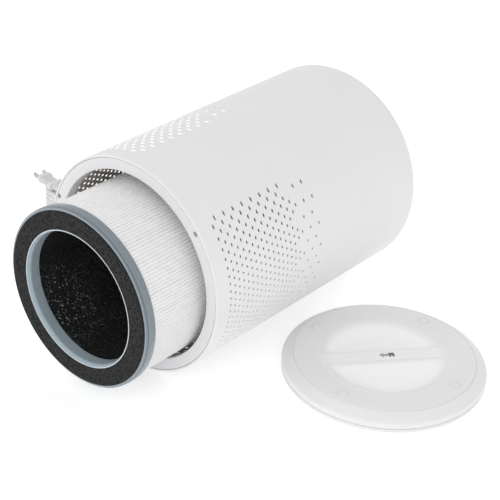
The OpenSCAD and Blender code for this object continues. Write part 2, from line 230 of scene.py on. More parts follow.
def cap_plastic(name, color):
    """Soft blue-grey plastic, paler on the rim, the inner lip and the collar, as light catches them"""
    look = Look(name, color, 0.3)
    look.tint(look.noise(40, 3), tuple(c * 0.9 for c in color))
    from_axis = look.reach(middle("front_cap"), (1, 0, 1))
    look.tint(from_axis, (0.66, 0.72, 0.76), 0.0795, 0.0785)     # the bead on the inner lip
    # how much paler each band is, and the radii in metres between which it sets in
    rim, side = (1.45, 0.0981, 0.0985), (1.0, 0.1003, 0.1006)
    under_bead, ledge, collar = (2.7, 0.0772, 0.0768), (1.15, 0.0765, 0.0763), (1.65, 0.0752, 0.0751)
    for paler, start, end in (rim, side, under_bead, ledge, collar):
        look.tint(from_axis, tuple(c * paler for c in color), start, end)
    look.rough(look.noise(25, 4), 0.06)
    look.bump(look.noise(0.7, 2), 0.02)
    return look.material


def cover_plastic(name, color):
    """Moulded plastic, with a painted highlight that makes it brighter on the grip bar in the middle"""
    look = Look(name, color, 0.42)
    look.tint(look.noise(60, 3), tuple(c * 0.985 for c in color))
    # painted highlight: paler within about 62 to 76 mm of the cover's middle
    look.tint(look.reach(middle("cover_shell"), (1, 1, 0)), (0.87, 0.87, 0.87), 0.076, 0.062)
    look.rough(look.noise(25, 4), 0.06)
    look.bump(look.noise(0.7, 2), 0.02)
    look.bump(look.noise(38, 1), 0.05)
    return look.material


def bowl_plastic(name, color):
    """The cover's plastic, a little glossier, with a painted highlight that makes it brighter towards the
    bottom of a bowl
    """
    look = Look(name, color, 0.34)
    look.tint(look.noise(60, 3), tuple(c * 0.985 for c in color))
    # painted highlight: paler below about 15 to 19 mm above the floor
    look.tint(look.reach((0, 0, 0), (0, 0, 1)), (0.93, 0.93, 0.93), 0.0193, 0.0150)
    look.rough(look.noise(25, 4), 0.06)
    look.bump(look.noise(0.7, 2), 0.02)
    return look.material


def bore_plastic(name, color, glow):
    """The walls of the intake bores, which glow a little: emission as painted light, so that the walls
    facing the key light look lit
    """
    # the emission is painted light on the bore walls, not a lamp
    look = Look(name, color, 0.5, Emission_Color=(1, 1, 1, 1), Emission_Strength=glow)
    look.tint(look.noise(6, 2), tuple(c * 0.96 for c in color))
    look.rough(look.noise(2, 3), 0.06)
    look.bump(look.noise(0.5, 2), 0.01)
    return look.material


def foam(name, color):
    """Open-cell foam: dark pits between lighter struts, with a few bright specks"""
    look = Look(name, color, 0.9, Specular_IOR_Level=0.2)
    cells = look.add("ShaderNodeTexVoronoi")
    cells.inputs["Scale"].default_value = 1000 / 1.3
    look.link(look.coords, cells.inputs["Vector"])
    look.tint(cells.outputs["Distance"], tuple(c * 2.4 for c in color), 0.1, 0.7)
    look.tint(look.noise(2.2, 3), tuple(c * 0.4 for c in color), 0.42, 0.66)
    look.tint(look.noise(1.1, 1), tuple(c * 6 for c in color), 0.66, 0.78)
    look.rough(look.noise(3, 2), 0.08)
    look.bump(cells.outputs["Distance"], 0.5)
    look.bump(look.noise(5, 3), 0.4)
    return look.material


def paper(name, color):
    """Melt-blown filter paper: a soft white with fibres along the folds, with painted shade that makes it a
    little greyer low down
    """
    look = Look(name, color, 0.9, Specular_IOR_Level=0.2)
    look.tint(look.noise(9, 4), tuple(c * 0.93 for c in color))
    look.tint(look.noise(0.8, 4, (1, 0.15, 1)), tuple(min(1, c * 1.05) for c in color), 0.5, 0.8)
    # painted shade: greyer below about 0.05 to 0.14 m above the floor
    look.tint(look.reach((0, 0, 0), (0, 0, 1)), tuple(c * 0.87 for c in color), 0.14, 0.05)
    look.bump(look.noise(0.6, 4), 0.06)
    look.bump(look.noise(3, 2), 0.08)
    return look.material


def granules(name, color):
    """Charcoal grains: black, with broken faces that glint where light falls in"""
    look = Look(name, color, 0.24, Specular_IOR_Level=0.9)
    look.tint(look.noise(1.6, 2), tuple(c * 3 for c in color), 0.5, 0.8)
    glint = look.add("ShaderNodeTexVoronoi")
    glint.inputs["Scale"].default_value = 1000 / 1.1
    look.link(look.coords, glint.inputs["Vector"])
    look.tint(glint.outputs["Color"], (0.80, 0.84, 0.86), 0.80, 0.86)
    lit = middle("carbon_layer") - Vector((0.05, 0.046, 0.045))
    look.tint(look.reach(lit, (1, 1, 1)), color, 0.025, 0.056)
    look.rough(look.noise(1.2, 3), 0.14)
    look.bump(look.noise(0.9, 3), 0.16)
    return look.material


def metal(name, color, roughness=0.3, brushed=(1, 1, 1)):
    """Bare metal with fine brush marks, drawn out along the axes where brushed is small"""
    look = Look(name, color, roughness, Metallic=1.0)
    look.tint(look.noise(12, 3), tuple(c * 0.85 for c in color))
    look.rough(look.noise(1.5, 3, brushed), 0.1)
    look.bump(look.noise(0.3, 2, brushed), 0.01)
    return look.material


def board(name, color):
    """Solder mask with tracks showing through it"""
    look = Look(name, color, 0.3, Coat_Weight=0.3)
    tracks = look.add("ShaderNodeTexBrick")
    tracks.inputs["Scale"].default_value = 220
    look.link(look.coords, tracks.inputs["Vector"])
    look.tint(tracks.outputs["Fac"], tuple(c * 1.9 for c in color), 0.2, 0.9)
    look.rough(look.noise(4, 2), 0.08)
    look.bump(tracks.outputs["Fac"], 0.05)
    return look.material


def cord_skin(name, color):
    """Soft extruded sheath, a little dulled in patches"""
    look = Look(name, color, 0.5, Specular_IOR_Level=0.4)
    look.tint(look.noise(14, 3), tuple(c * 0.93 for c in color))
    look.rough(look.noise(6, 3), 0.08)
    look.bump(look.noise(1.2, 2), 0.03)
    return look.material


def frosted(name, color):
    """Frosted plastic over the panel's lamps"""
    look = Look(name, color, 0.45, Transmission_Weight=0.3, IOR=1.45)
    look.tint(look.noise(8, 2), tuple(c * 0.95 for c in color))
    look.rough(look.noise(3, 3), 0.1)
    look.bump(look.noise(0.5, 2), 0.02)
    return look.material


LOOKS = {
    "shell_white": moulded("shell_white", (0.79, 0.79, 0.793), 0.45, 0.985),
    "shell_inside": moulded("shell_inside", (0.80, 0.755, 0.70), 0.5),
    # bore walls with emission as painted light, stronger at the back
    "bore_front": bore_plastic("bore_front", (0.80, 0.80, 0.803), 0.14),
    "bore_back": bore_plastic("bore_back", (0.86, 0.86, 0.86), 0.5),
    "bowl_white": bowl_plastic("bowl_white", (0.80, 0.80, 0.803)),
    "ring_white": moulded("ring_white", (0.74, 0.742, 0.755), 0.42, 0.98),
    "cover_white": cover_plastic("cover_white", (0.80, 0.80, 0.803)),
    "liner_grey": moulded("liner_grey", (0.42, 0.42, 0.43), 0.6),
    "panel_white": moulded("panel_white", (0.72, 0.72, 0.73), 0.35, 0.98),
    "light_clear": frosted("light_clear", (0.80, 0.90, 0.92)),
    "cap_blue": cap_plastic("cap_blue", (0.20, 0.24, 0.265)),
    "foam_black": foam("foam_black", (0.0155, 0.0155, 0.016)),
    "media_white": paper("media_white", (0.87, 0.865, 0.87)),
    "carbon_black": granules("carbon_black", (0.024, 0.025, 0.0245)),
    "mesh_black": moulded("mesh_black", (0.02, 0.021, 0.021), 0.3, 0.8),
    "motor_metal": metal("motor_metal", (0.40, 0.42, 0.44), 0.4, (1, 0.2, 1)),
    "steel": metal("steel", (0.62, 0.62, 0.63), 0.28),
    "fan_grey": moulded("fan_grey", (0.16, 0.165, 0.175), 0.5),
    "board_green": board("board_green", (0.02, 0.12, 0.05)),
    "switch_black": moulded("switch_black", (0.03, 0.03, 0.033), 0.5),
    "cord_white": cord_skin("cord_white", (0.70, 0.70, 0.70)),
    "plug_white": moulded("plug_white", (0.70, 0.70, 0.70), 0.4),
    "pin_metal": metal("pin_metal", (0.48, 0.48, 0.48), 0.3, (1, 1, 6)),
    "tie_grey": moulded("tie_grey", (0.40, 0.41, 0.42), 0.7),
    "foot_grey": moulded("foot_grey", (0.79, 0.79, 0.795), 0.6, 0.97, 0.05),
    "mark_grey": moulded("mark_grey", (0.15, 0.155, 0.165), 0.6),
}
SLOT_OF = {part["node"]: part["material_slot"] for part in frame["record"]["subparts"]}


def dress_cad_nodes():
    """Every CAD node that stays in view takes the look of its slot"""
    for node, cad in frame["nodes"].items():
        cad.data.materials.clear()
        cad.data.materials.append(LOOKS[SLOT_OF[node]])


dress_cad_nodes()


# ---------- mesh building, in millimetres in a group's own frame ----------

def arc(cx, cy, radius, start, end, steps=8):
    """Points on a circle, between two angles in degrees"""
    turns = np.radians(np.linspace(start, end, steps + 1))
    return [(cx + radius * math.cos(a), cy + radius * math.sin(a)) for a in turns]


def lathe(outline, segments=256):
    """Turn a closed outline of (radius, height) about the axis"""
    points = np.array(outline, float)
    count = len(points)
    turns = np.linspace(0, 2 * math.pi, segments, endpoint=False)
    verts = np.stack([
        np.outer(np.cos(turns), points[:, 0]),
        np.outer(np.sin(turns), points[:, 0]),
        np.tile(points[:, 1], (segments, 1)),
    ], axis=2).reshape(-1, 3)
    faces = [
        (i * count + j, (i + 1) % segments * count + j,
         (i + 1) % segments * count + (j + 1) % count, i * count + (j + 1) % count)
        for i in range(segments) for j in range(count)
    ]
    return verts, faces


def join(*parts):
    """Several (verts, faces) as one"""
    verts, faces, base = [], [], 0
    for part_verts, part_faces in parts:
        verts.append(np.asarray(part_verts, float))
        faces += [tuple(base + i for i in face) for face in part_faces]
        base += len(part_verts)
    return np.concatenate(verts), faces


def bands(count, levels):
    """The faces between rings of that many points, ring above ring"""
    return [
        (k * count + i, k * count + (i + 1) % count, (k + 1) * count + (i + 1) % count, (k + 1) * count + i)
        for k in range(levels) for i in range(count)
    ]


def closed_skin(count, levels):
    """The same faces with both ends closed"""
    last = levels * count
    return [tuple(range(count))[::-1], tuple(range(last, last + count)), *bands(count, levels)]


def stadium_outline(run, radius, steps=16):
    """A slot's outline: two half circles whose centres are the run apart"""
    right = arc(run / 2, 0, radius, -90, 90, steps)
    left = arc(-run / 2, 0, radius, 90, 270, steps)
    return [*right, *left]


def loft(sections):
    """Skin over outlines of equal length, each given with its height, and close both ends"""
    verts = [(x, y, height) for height, outline in sections for x, y in outline]
    return np.array(verts, float), closed_skin(len(sections[0][1]), len(sections) - 1)


def prism(outline, low, high):
    """A straight-sided solid on an outline of (x, y)"""
    return loft([(low, outline), (high, outline)])


def moved(part, matrix):
    """The same (verts, faces) elsewhere in the group's frame"""
    verts, faces = part
    return np.array([matrix @ Vector(v) for v in verts]), faces


def raw_object(name, part, place):
    """An object at the world's origin, its mesh placed by the group's matrix"""
    verts, faces = part
    mesh = bpy.data.meshes.new(name)
    turn = np.array(place)
    world = np.asarray(verts) @ turn[:3, :3].T + turn[:3, 3]
    mesh.from_pydata(world.tolist(), [], [tuple(map(int, f)) for f in faces])
    mesh.validate()
    thing = bpy.data.objects.new(name, mesh)
    bpy.context.scene.collection.objects.link(thing)
    return thing


def tidy_mesh(thing):
    """Weld doubled points, drop faces without area and turn all faces outward"""
    weld = 0.001 * MM
    work = bmesh.new()
    work.from_mesh(thing.data)
    bmesh.ops.remove_doubles(work, verts=work.verts, dist=weld)
    bmesh.ops.dissolve_degenerate(work, edges=work.edges, dist=weld * 0.1)
    bmesh.ops.recalc_face_normals(work, faces=work.faces)
    work.to_mesh(thing.data)
    work.free()


def settle(thing):
    """Apply a piece's modifiers to its mesh"""
    bpy.context.view_layer.update()
    graph = bpy.context.evaluated_depsgraph_get()
    mesh = bpy.data.meshes.new_from_object(thing.evaluated_get(graph))
    thing.modifiers.clear()
    thing.data = mesh


def cut(thing, part, place):
    """Take a closed shape out of a piece"""
    tool = raw_object("tool", part, place)
    tidy_mesh(tool)
    change = thing.modifiers.new("cut", "BOOLEAN")
    change.operation = "DIFFERENCE"
    change.solver = "MANIFOLD"
    change.object = tool
    settle(thing)
    bpy.data.objects.remove(tool)


def finish_piece(thing, slot, body, replaces=(), sharp=35):
    """Give a piece its look, smooth faces but for edges past that angle, its body and its CAD nodes"""
    thing.data.materials.clear()
    thing.data.materials.append(LOOKS[slot])
    thing.data.shade_smooth()
    if sharp:
        thing.data.set_sharp_from_angle(angle=math.radians(sharp))
    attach(thing, body)
    if replaces:
        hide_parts(*replaces)
    return thing


def piece(name, part, place, slot, body, replaces=(), sharp=35):
    """A finished piece from its (verts, faces)"""
    thing = raw_object(name, part, place)
    tidy_mesh(thing)
    return finish_piece(thing, slot, body, replaces, sharp)


# ---------- cord, hank and plug ----------

# Millimetres from the point under the opening's middle
HANK_MIDDLE = (-265.0, 189.0)
HANK_RUN = 104.0
FOLD_R = 20.0
HANK_TURNS = 4
LIFT = 0.2                # keeps the curve's small dips off the floor
ROUTE = [
    (-155, 13, 99.9), (-161, 13, 98.9), (-167, 16, 96), (-172, 22, 90.5), (-175, 31, 82),
    (-177, 43, 71), (-178, 56, 59), (-179, 70, 46), (-180, 84, 33), (-181, 98, 21),
    (-182, 112, 12), (-183, 126, 6), (-185, 140, 3.7), (-190, 153, 3.45),
    (-199, 163, 3.45), (-211, 168.5, 3.45), (-224, 169, 3.45),
]
ROUTE_END = [
    (-232, 169, 29.2), (-248, 169, 29.3), (-264, 169, 29.6),
    (-278, 169.2, 30.6), (-290, 170.2, 31.8), (-300.2, 171.8, 32.5),
]
PLUG_TIP = (-360, 184, 32.5)
PLUG_TURN = 348.5
PLUG_LEN, PLUG_RUN, PLUG_R = 31.0, 9.0, 5.9
PIN_LEN = 14
PLUG_RIBS, RIB_START, RIB_STEP = 6, 8, 2.4
SLEEVE_LEN = 16.0
SLEEVE_RINGS = 5


def hank_points():
    """Stacked long turns, each rising by one cord at the right-hand fold"""
    cx, cy = HANK_MIDDLE
    # where the straight runs have their points along X
    first_run, later_run, back_run = (-250, -275, -300), (-228, -252, -276, -300), (-290, -265, -240)
    points = []
    for turn in range(HANK_TURNS):
        low = CORD_D / 2 + LIFT + turn * CORD_D
        for x in (first_run if turn == 0 else later_run):
            points.append((x, cy - FOLD_R, low))
        for angle in (-90, -130, -180, -230, -270):
            a = math.radians(angle)
            points.append((cx - HANK_RUN / 2 + FOLD_R * math.cos(a), cy + FOLD_R * math.sin(a), low))
        for x in back_run:
            points.append((x, cy + FOLD_R, low))
        for step, angle in enumerate((90, 45, 0, -45, -90)):
            a = math.radians(angle)
            rise = CORD_D * (step / 4) ** 1.2
            points.append((cx + HANK_RUN / 2 + FOLD_R * math.cos(a), cy + FOLD_R * math.sin(a), low + rise))
    return points


def make_cord():
    """The whole cord as one curve: down from the housing, round the hank and up to the plug"""
    points = [*ROUTE, *hank_points(), *ROUTE_END]
    curve = bpy.data.curves.new("mains_cord", "CURVE")
    curve.dimensions = "3D"
    curve.bevel_depth = CORD_D / 2 * MM
    curve.bevel_resolution = 6
    curve.resolution_u = 8
    curve.use_fill_caps = True
    spline = curve.splines.new("BEZIER")
    spline.bezier_points.add(len(points) - 1)
    for knot, point in zip(spline.bezier_points, points):
        knot.co = FLOOR @ Vector(point)
        knot.handle_left_type = knot.handle_right_type = "AUTO"
    cord = bpy.data.objects.new("mains_cord", curve)
    bpy.context.scene.collection.objects.link(cord)
    curve.materials.append(LOOKS["cord_white"])
    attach(cord, "housing")
    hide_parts("power_cord", "cord_hank", "cord_tail")
    return cord


def make_plug():
    """A moulded plug with a waisted, ribbed grip and a ringed sleeve, its axis pointing at the cord"""
    place = (
        FLOOR @ Matrix.Translation(PLUG_TIP) @ Matrix.Rotation(math.radians(PLUG_TURN), 4, "Z")
        @ Matrix.Rotation(math.radians(90), 4, "Y")
    )
    depths = [(0, 0.9), (0.3, 0.35), (0.9, 0), (6.5, 0), (7.2, 1.3)]
    for rib in range(PLUG_RIBS):
        z = RIB_START + rib * RIB_STEP
        depths += [(z, 2.1), (z + 0.5, 1.3), (z + 1.3, 1.3), (z + 1.8, 2.1)]
    depths += [(23.5, 1.2), (25.5, 0.2), (28.8, 0.1), (30.2, 0.5), (PLUG_LEN, 1.6)]
    body = loft([
        (PIN_LEN + z, [(-y, x) for x, y in stadium_outline(PLUG_RUN, PLUG_R - depth)])
        for z, depth in depths
    ])
    start = PIN_LEN + PLUG_LEN
    sleeve = [(0, start - 1), (5.4, start - 1)]
    for ring in range(SLEEVE_RINGS):
        z, radius = start + 1.4 + ring * 2.9, 5.3 - 0.2 * ring
        sleeve += [(radius, z), (radius - 0.9, z + 0.3), (radius - 0.9, z + 1.1), (radius - 0.1, z + 1.4)]
    sleeve += [(4.2, start + SLEEVE_LEN), (0, start + SLEEVE_LEN)]
    plug = join(body, lathe(sleeve, 48))
    return piece("plug", plug, place, "plug_white", "housing", ["plug_body"], sharp=28)


mains_cord = make_cord()
make_plug()


# ---------- housing ----------

SENSOR_Z = 221
WINDOW_RUN, WINDOW_R = 34, 9.2
EXIT_TURN = 150           # degrees round the shell from the middle of the front
EXIT_Z = 13
EXIT_R = 6
THROUGH = 8               # how far a cutter reaches each side of the shell's surface
SLOT_TURNS = (59, 179, 299)
SLOT_PLACE_R = 119.4
SLOT_HALF_RUN, SLOT_R = 1.0, 2.2
HOLE_R = 1.5
ROW_STEP = 3.69
ROW_COUNT = 62
COLUMN_START = 21.5
COLUMN_STEP = 7.03


def columns(row):
    """Which columns a row of the intake pattern has: staggered, thinning out towards the top"""
    if row % 2 == 0:
        return [*range(1, 16, 2), *((17, 19, 21) if row % 6 == 4 else ())]
    return [*range(0, 15, 2), *((18, 20) if row % 6 == 1 else (16,))]


def intake_cutters(side):
    """
    Pins for the intake holes of one half of the shell; side is 1 at the front, -1 at the back.
    They are parallel outside the shell and aim at its axis under the skin.
    """
    corners = 14
    turns = np.linspace(0, 2 * math.pi, corners, endpoint=False)
    rim = [(HOLE_R * math.cos(a), HOLE_R * math.sin(a)) for a in turns]
    outside, inside = HOUSING_R + 0.4, HOUSING_R - 5
    shrink = inside / outside
    parts = []
    for row in range(ROW_COUNT):
        across = (row - (ROW_COUNT - 1) / 2) * ROW_STEP
        for column in columns(row):
            along = COLUMN_START + COLUMN_STEP * column
            verts = [(side * (HOUSING_R + 5), across + y, along + z) for y, z in rim]
            skin = [(math.sqrt(outside ** 2 - (across + y) ** 2), across + y) for y, z in rim]
            verts += [(side * x, y, along + z) for (x, y), (_, z) in zip(skin, rim)]
            verts += [(side * x * shrink, y * shrink, along + z) for (x, y), (_, z) in zip(skin, rim)]
            parts.append((verts, closed_skin(corners, 2)))
    return join(*parts)


def paint_inside(mesh, radial, at, normal):
    """Give the inner face its own look, and the bore walls that face the key light theirs"""
    for look in ("shell_inside", "bore_front", "bore_back"):
        mesh.materials.append(LOOKS[look])
    plain, inside, bore_front, bore_back = range(4)
    along_radius = 0.8        # past this a face is part of the shell's skin, not of a bore
    to_key = (HOUSING.inverted().to_3x3() @ Vector(KEY_PLACE)).normalized()
    facing = np.einsum("ij,ij->i", radial, normal)
    field = (at[:, 2] > COLLAR_TOP) & (at[:, 2] < DECK_Z)
    bore = field & (np.abs(facing) < along_radius) & (normal @ np.array(to_key) > 0)
    index = np.where(facing < -along_radius, inside, plain)
    index = np.where(bore, np.where(at[:, 0] > 0, bore_front, bore_back), index)
    mesh.polygons.foreach_set("material_index", index.astype(int))


def true_normals(shell):
    """Give the cut shell the normals of its true round surface"""
    mesh = shell.data
    turn = np.array(HOUSING.inverted())
    co = np.empty(len(mesh.vertices) * 3)
    mesh.vertices.foreach_get("co", co)
    co = co.reshape(-1, 3) @ turn[:3, :3].T + turn[:3, 3]
    flat = np.empty(len(mesh.polygons) * 3)
    mesh.polygons.foreach_get("normal", flat)
    flat = flat.reshape(-1, 3) @ (turn[:3, :3].T * MM)
    starts = np.empty(len(mesh.polygons), int)
    totals = np.empty(len(mesh.polygons), int)
    mesh.polygons.foreach_get("loop_start", starts)
    mesh.polygons.foreach_get("loop_total", totals)
    corners = np.empty(len(mesh.loops), int)
    mesh.loops.foreach_get("vertex_index", corners)
    owner = np.repeat(np.arange(len(totals)), totals)
    at = co[corners]
    face = flat[owner]
    radius = np.hypot(at[:, 0], at[:, 1])
    radial = np.stack([at[:, 0] / radius, at[:, 1] / radius, np.zeros(len(at))], 1)
    # on the rounded top edge the normal points away from the edge's own centre line
    centre_r, centre_z = HOUSING_R - TOP_ROUND, HOUSING_LEN - TOP_ROUND
    out, up = radius - centre_r, at[:, 2] - centre_z
    length = np.hypot(out, up) + 1e-9
    rounded = radial * (out / length)[:, None] + np.array([0, 0, 1]) * (up / length)[:, None]
    surface = np.where((at[:, 2] > centre_z - 0.01)[:, None], rounded, radial)
    agrees = np.einsum("ij,ij->i", surface, face)
    on_surface = np.abs(agrees) > 0.985
    paint_inside(mesh, radial[starts], at[starts], flat)
    normal = np.where(on_surface[:, None], surface * np.sign(agrees)[:, None], face)
    normal = normal @ np.array(HOUSING)[:3, :3].T
    normal /= np.linalg.norm(normal, axis=1)[:, None]
    mesh.normals_split_custom_set(normal.tolist())


def make_shell():
    """The housing's shell, with its intake holes, the sensor's window and the cord's exit cut through"""
    inner = HOUSING_R - WALL
    thin = HOUSING_R - FIELD_WALL
    outline = [
        (inner, 0.3), (inner + 0.3, 0),
        *arc(HOUSING_R - END_ROUND, END_ROUND, END_ROUND, 270, 360, 6),
        *arc(HOUSING_R - TOP_ROUND, HOUSING_LEN - TOP_ROUND, TOP_ROUND, 0, 90, 14),
        (RIM_R + 0.5, HOUSING_LEN), (RIM_R, HOUSING_LEN - 0.5), (RIM_R, HOUSING_LEN - WALL),
        *arc(HOUSING_R - TOP_ROUND, HOUSING_LEN - TOP_ROUND, TOP_ROUND - WALL, 90, 0, 10),
        (inner, DECK_Z - 2), (thin, DECK_Z - 4), (thin, COLLAR_TOP + 2), (inner, COLLAR_TOP),
    ]
    shell = raw_object("shell", lathe(outline, 360), HOUSING)
    tidy_mesh(shell)
    window_tool = moved(prism(stadium_outline(WINDOW_RUN, WINDOW_R), -THROUGH, THROUGH), sensor_place())
    gland = [(0, -THROUGH), (EXIT_R, -THROUGH), (EXIT_R, THROUGH), (0, THROUGH)]
    gland_tool = moved(lathe(gland, 48), exit_place())
    tools = join(intake_cutters(1), intake_cutters(-1), window_tool, gland_tool)
    cut(shell, tools, HOUSING)
    finish_piece(shell, "shell_white", "housing", ["outer_shell"], sharp=None)
    true_normals(shell)


def sensor_place():
    """Where the particle sensor's window sits, its long side round the shell"""
    return (
        Matrix.Rotation(math.radians(180), 4, "Z") @ Matrix.Translation((HOUSING_R, 0, SENSOR_Z))
        @ Matrix.Rotation(math.radians(90), 4, "Y") @ Matrix.Rotation(math.radians(90), 4, "Z")
    )


def exit_place():
    """Where the cord leaves the shell, with the axis pointing outward"""
    return (
        Matrix.Rotation(math.radians(EXIT_TURN), 4, "Z") @ Matrix.Translation((HOUSING_R, 0, EXIT_Z))
        @ Matrix.Rotation(math.radians(90), 4, "Y")
    )


def make_bottom_ring():
    """A flat face round the opening, with a collar inside it and three small slots"""
    rim = HOUSING_R - WALL - 0.4
    wall = OPENING_R + 2.4
    outline = [
        (OPENING_R, COLLAR_TOP - 0.5), *arc(OPENING_R + 0.9, 0.9, 0.9, 180, 270, 6),
        *arc(rim - 0.5, 0.5, 0.5, 270, 360, 4),
        (rim, RING_FACE), (wall + 3, RING_FACE), (wall, RING_FACE + 3),
        (wall, COLLAR_TOP - 0.5), (wall - 0.5, COLLAR_TOP), (OPENING_R + 0.5, COLLAR_TOP),
    ]
    ring = raw_object("ring", lathe(outline, 288), HOUSING)
    tidy_mesh(ring)
    end = [(SLOT_PLACE_R + x, y) for x, y in arc(0, SLOT_HALF_RUN, SLOT_R, 0, 180, 8)]
    outline = [*end, *[(x, -y) for x, y in end[::-1]]]
    slots = []
    for turn in SLOT_TURNS:
        slots.append(moved(prism(outline, -1, 4), Matrix.Rotation(math.radians(turn), 4, "Z")))
    cut(ring, join(*slots), HOUSING)
    finish_piece(ring, "ring_white", "housing", ["bottom_ring"], sharp=40)


make_shell()
make_bottom_ring()


# ---------- filter ----------

CAP_R = 101.8
CAP_T = 12.5
CORE_R = 75.0
COLLAR = 14.6
FOAM_IN, FOAM_OUT = 78.0, 98.3
FOAM_PROUD, FOAM_DEPTH = 2.0, 4
FILTER_LEN = 165.0
PLEAT_R, PLEAT_IN = 100.0, 82.0
PLEATS = 168
GRAINS = 4200


def cap_outline():
    """An end cap, a channel that holds the foam, with a stepped side and a collar down into the core"""
    return [
        (CORE_R, 3.2), (CORE_R + 0.3, 2.8), (CORE_R + 1.5, 2.6), (CORE_R + 1.6, 2.2),
        (FOAM_IN - 1.3, -1.1), (FOAM_IN - 1.1, -1.7), (FOAM_IN - 0.6, -1.9), (FOAM_IN - 0.2, -1.7),
        (FOAM_IN, -1.1), (FOAM_IN, FOAM_DEPTH), (FOAM_OUT, FOAM_DEPTH), (FOAM_OUT, 0.3), (FOAM_OUT + 0.3, 0),
        (CAP_R - 1.2, 0), (CAP_R - 0.65, 0.2), (CAP_R - 0.35, 0.7), (CAP_R - 0.3, 1.5), (CAP_R - 1.2, 1.8),
        (CAP_R - 1.2, 2.5), (CAP_R - 0.4, 2.8), (CAP_R - 0.1, 3.1), (CAP_R, 3.6),
        (CAP_R, CAP_T - 0.7), (CAP_R - 0.2, CAP_T - 0.2), (CAP_R - 0.7, CAP_T),
        (CORE_R + 1.5, CAP_T), (CORE_R + 1.5, COLLAR - 0.4), (CORE_R + 1.1, COLLAR), (CORE_R + 0.3, COLLAR),
        (CORE_R, COLLAR - 0.4),
    ]


def foam_outline():
    """The foam that fills the channel and stands a little proud of the cap"""
    return [
        (FOAM_IN + 0.1, FOAM_DEPTH), (FOAM_IN + 0.1, 0.6 - FOAM_PROUD), (FOAM_IN + 0.4, 0.15 - FOAM_PROUD),
        (FOAM_IN + 1.1, -FOAM_PROUD), (FOAM_OUT - 1.1, -FOAM_PROUD), (FOAM_OUT - 0.4, 0.15 - FOAM_PROUD),
        (FOAM_OUT - 0.1, 0.6 - FOAM_PROUD), (FOAM_OUT - 0.1, FOAM_DEPTH),
    ]


def flipped(outline):
    """The same outline at the other end of the filter"""
    return [(r, FILTER_LEN - z) for r, z in outline][::-1]


def make_pleats():
    """Folded paper: rounded outer folds with narrow clefts between them, a little uneven"""
    rng = np.random.RandomState(7)
    samples = 12
    rows = 9
    count = PLEATS * samples
    uneven = rng.normal(0, 0.0016, PLEATS)
    depth = rng.uniform(0.8, 1.15, PLEATS)
    rise = rng.normal(0, 0.08, (PLEATS, rows))
    heights = np.linspace(CAP_T - 0.3, FILTER_LEN - CAP_T + 0.3, rows)
    verts = []
    for row, height in enumerate(heights):
        sway = 0.0010 * math.sin(height / 17.0)
        for i in range(count):
            pleat, step = divmod(i, samples)
            u = abs(2 * step / samples - 1)
            cleft = max(0.0, (u - 0.55) / 0.45)
            cleft = cleft * cleft * (3 - 2 * cleft)
            after = (pleat + 1) % PLEATS
            frac = step / samples
            turn = 2 * math.pi * i / count + uneven[pleat] * (1 - frac) + uneven[after] * frac + sway
            lift = rise[pleat, row] * (1 - u)
            r = PLEAT_R - 0.4 - 0.3 * u * u - 1.0 * cleft * depth[pleat] + lift
            verts.append((min(r, PLEAT_R) * math.cos(turn), min(r, PLEAT_R) * math.sin(turn), height))
    low, high, top = rows * count, (rows + 1) * count, (rows - 1) * count
    for height in (heights[0], heights[-1]):
        for i in range(count):
            turn = 2 * math.pi * i / count
            verts.append(((PLEAT_IN + 0.1) * math.cos(turn), (PLEAT_IN + 0.1) * math.sin(turn), height))
    faces = bands(count, rows - 1)
    for i in range(count):
        j = (i + 1) % count
        faces.append((i, low + i, low + j, j))
        faces.append((top + i, top + j, high + j, high + i))
        faces.append((low + i, high + i, high + j, low + j))
    return np.array(verts), faces


def make_net():
    """Extruded netting: two layers of thin strands that cross"""
    strands, steps = 92, 36
    twist, half_width, thick = 1.75, 0.28, 0.45
    low, high = COLLAR - 0.3, FILTER_LEN - COLLAR + 0.3
    parts = []
    for layer, lean in ((CORE_R + 0.15, 1), (CORE_R + 0.55, -1)):
        for strand in range(strands):
            verts = []
            for step in range(steps + 1):
                t = step / steps
                turn = 2 * math.pi * strand / strands + lean * t * twist
                height = low + t * (high - low)
                for r, side in ((layer, -1), (layer, 1), (layer + thick, 1), (layer + thick, -1)):
                    a = turn + side * half_width / CORE_R
                    verts.append((r * math.cos(a), r * math.sin(a), height))
            faces = [(0, 1, 2, 3), (steps * 4 + 3, steps * 4 + 2, steps * 4 + 1, steps * 4)]
            for step in range(steps):
                for k in range(4):
                    a, b = step * 4 + k, step * 4 + (k + 1) % 4
                    faces.append((a, a + 4, b + 4, b))
            parts.append((np.array(verts), faces))
    return join(*parts)


def make_granules():
    """Charcoal grains packed behind the net, each a small uneven crystal"""
    rng = np.random.RandomState(11)
    gold = (1 + math.sqrt(5)) / 2
    corners = np.array([
        (-1, gold, 0), (1, gold, 0), (-1, -gold, 0), (1, -gold, 0), (0, -1, gold), (0, 1, gold),
        (0, -1, -gold), (0, 1, -gold), (gold, 0, -1), (gold, 0, 1), (-gold, 0, -1), (-gold, 0, 1),
    ]) / math.hypot(1, gold)
    shape = np.array([
        (0, 11, 5), (0, 5, 1), (0, 1, 7), (0, 7, 10), (0, 10, 11), (1, 5, 9), (5, 11, 4), (11, 10, 2),
        (10, 7, 6), (7, 1, 8), (3, 9, 4), (3, 4, 2), (3, 2, 6), (3, 6, 8), (3, 8, 9), (4, 9, 5),
        (2, 4, 11), (6, 2, 10), (8, 6, 7), (9, 8, 1),
    ])
    turn = rng.uniform(0, 2 * math.pi, GRAINS)
    height = rng.uniform(16, FILTER_LEN - 16, GRAINS)
    radius = rng.uniform(CORE_R + 2.3, CORE_R + 3.3, GRAINS)
    size = rng.uniform(0.55, 1.15, GRAINS)
    verts = corners[None] * size[:, None, None] * rng.uniform(0.65, 1.2, (GRAINS, 12, 1))
    verts[:, :, 0] *= rng.uniform(0.6, 1.3, (GRAINS, 1))
    centre = np.stack([radius * np.cos(turn), radius * np.sin(turn), height], 1)
    verts = verts + centre[:, None]
    faces = shape[None] + 12 * np.arange(GRAINS)[:, None, None]
    return verts.reshape(-1, 3), faces.reshape(-1, 3).tolist()


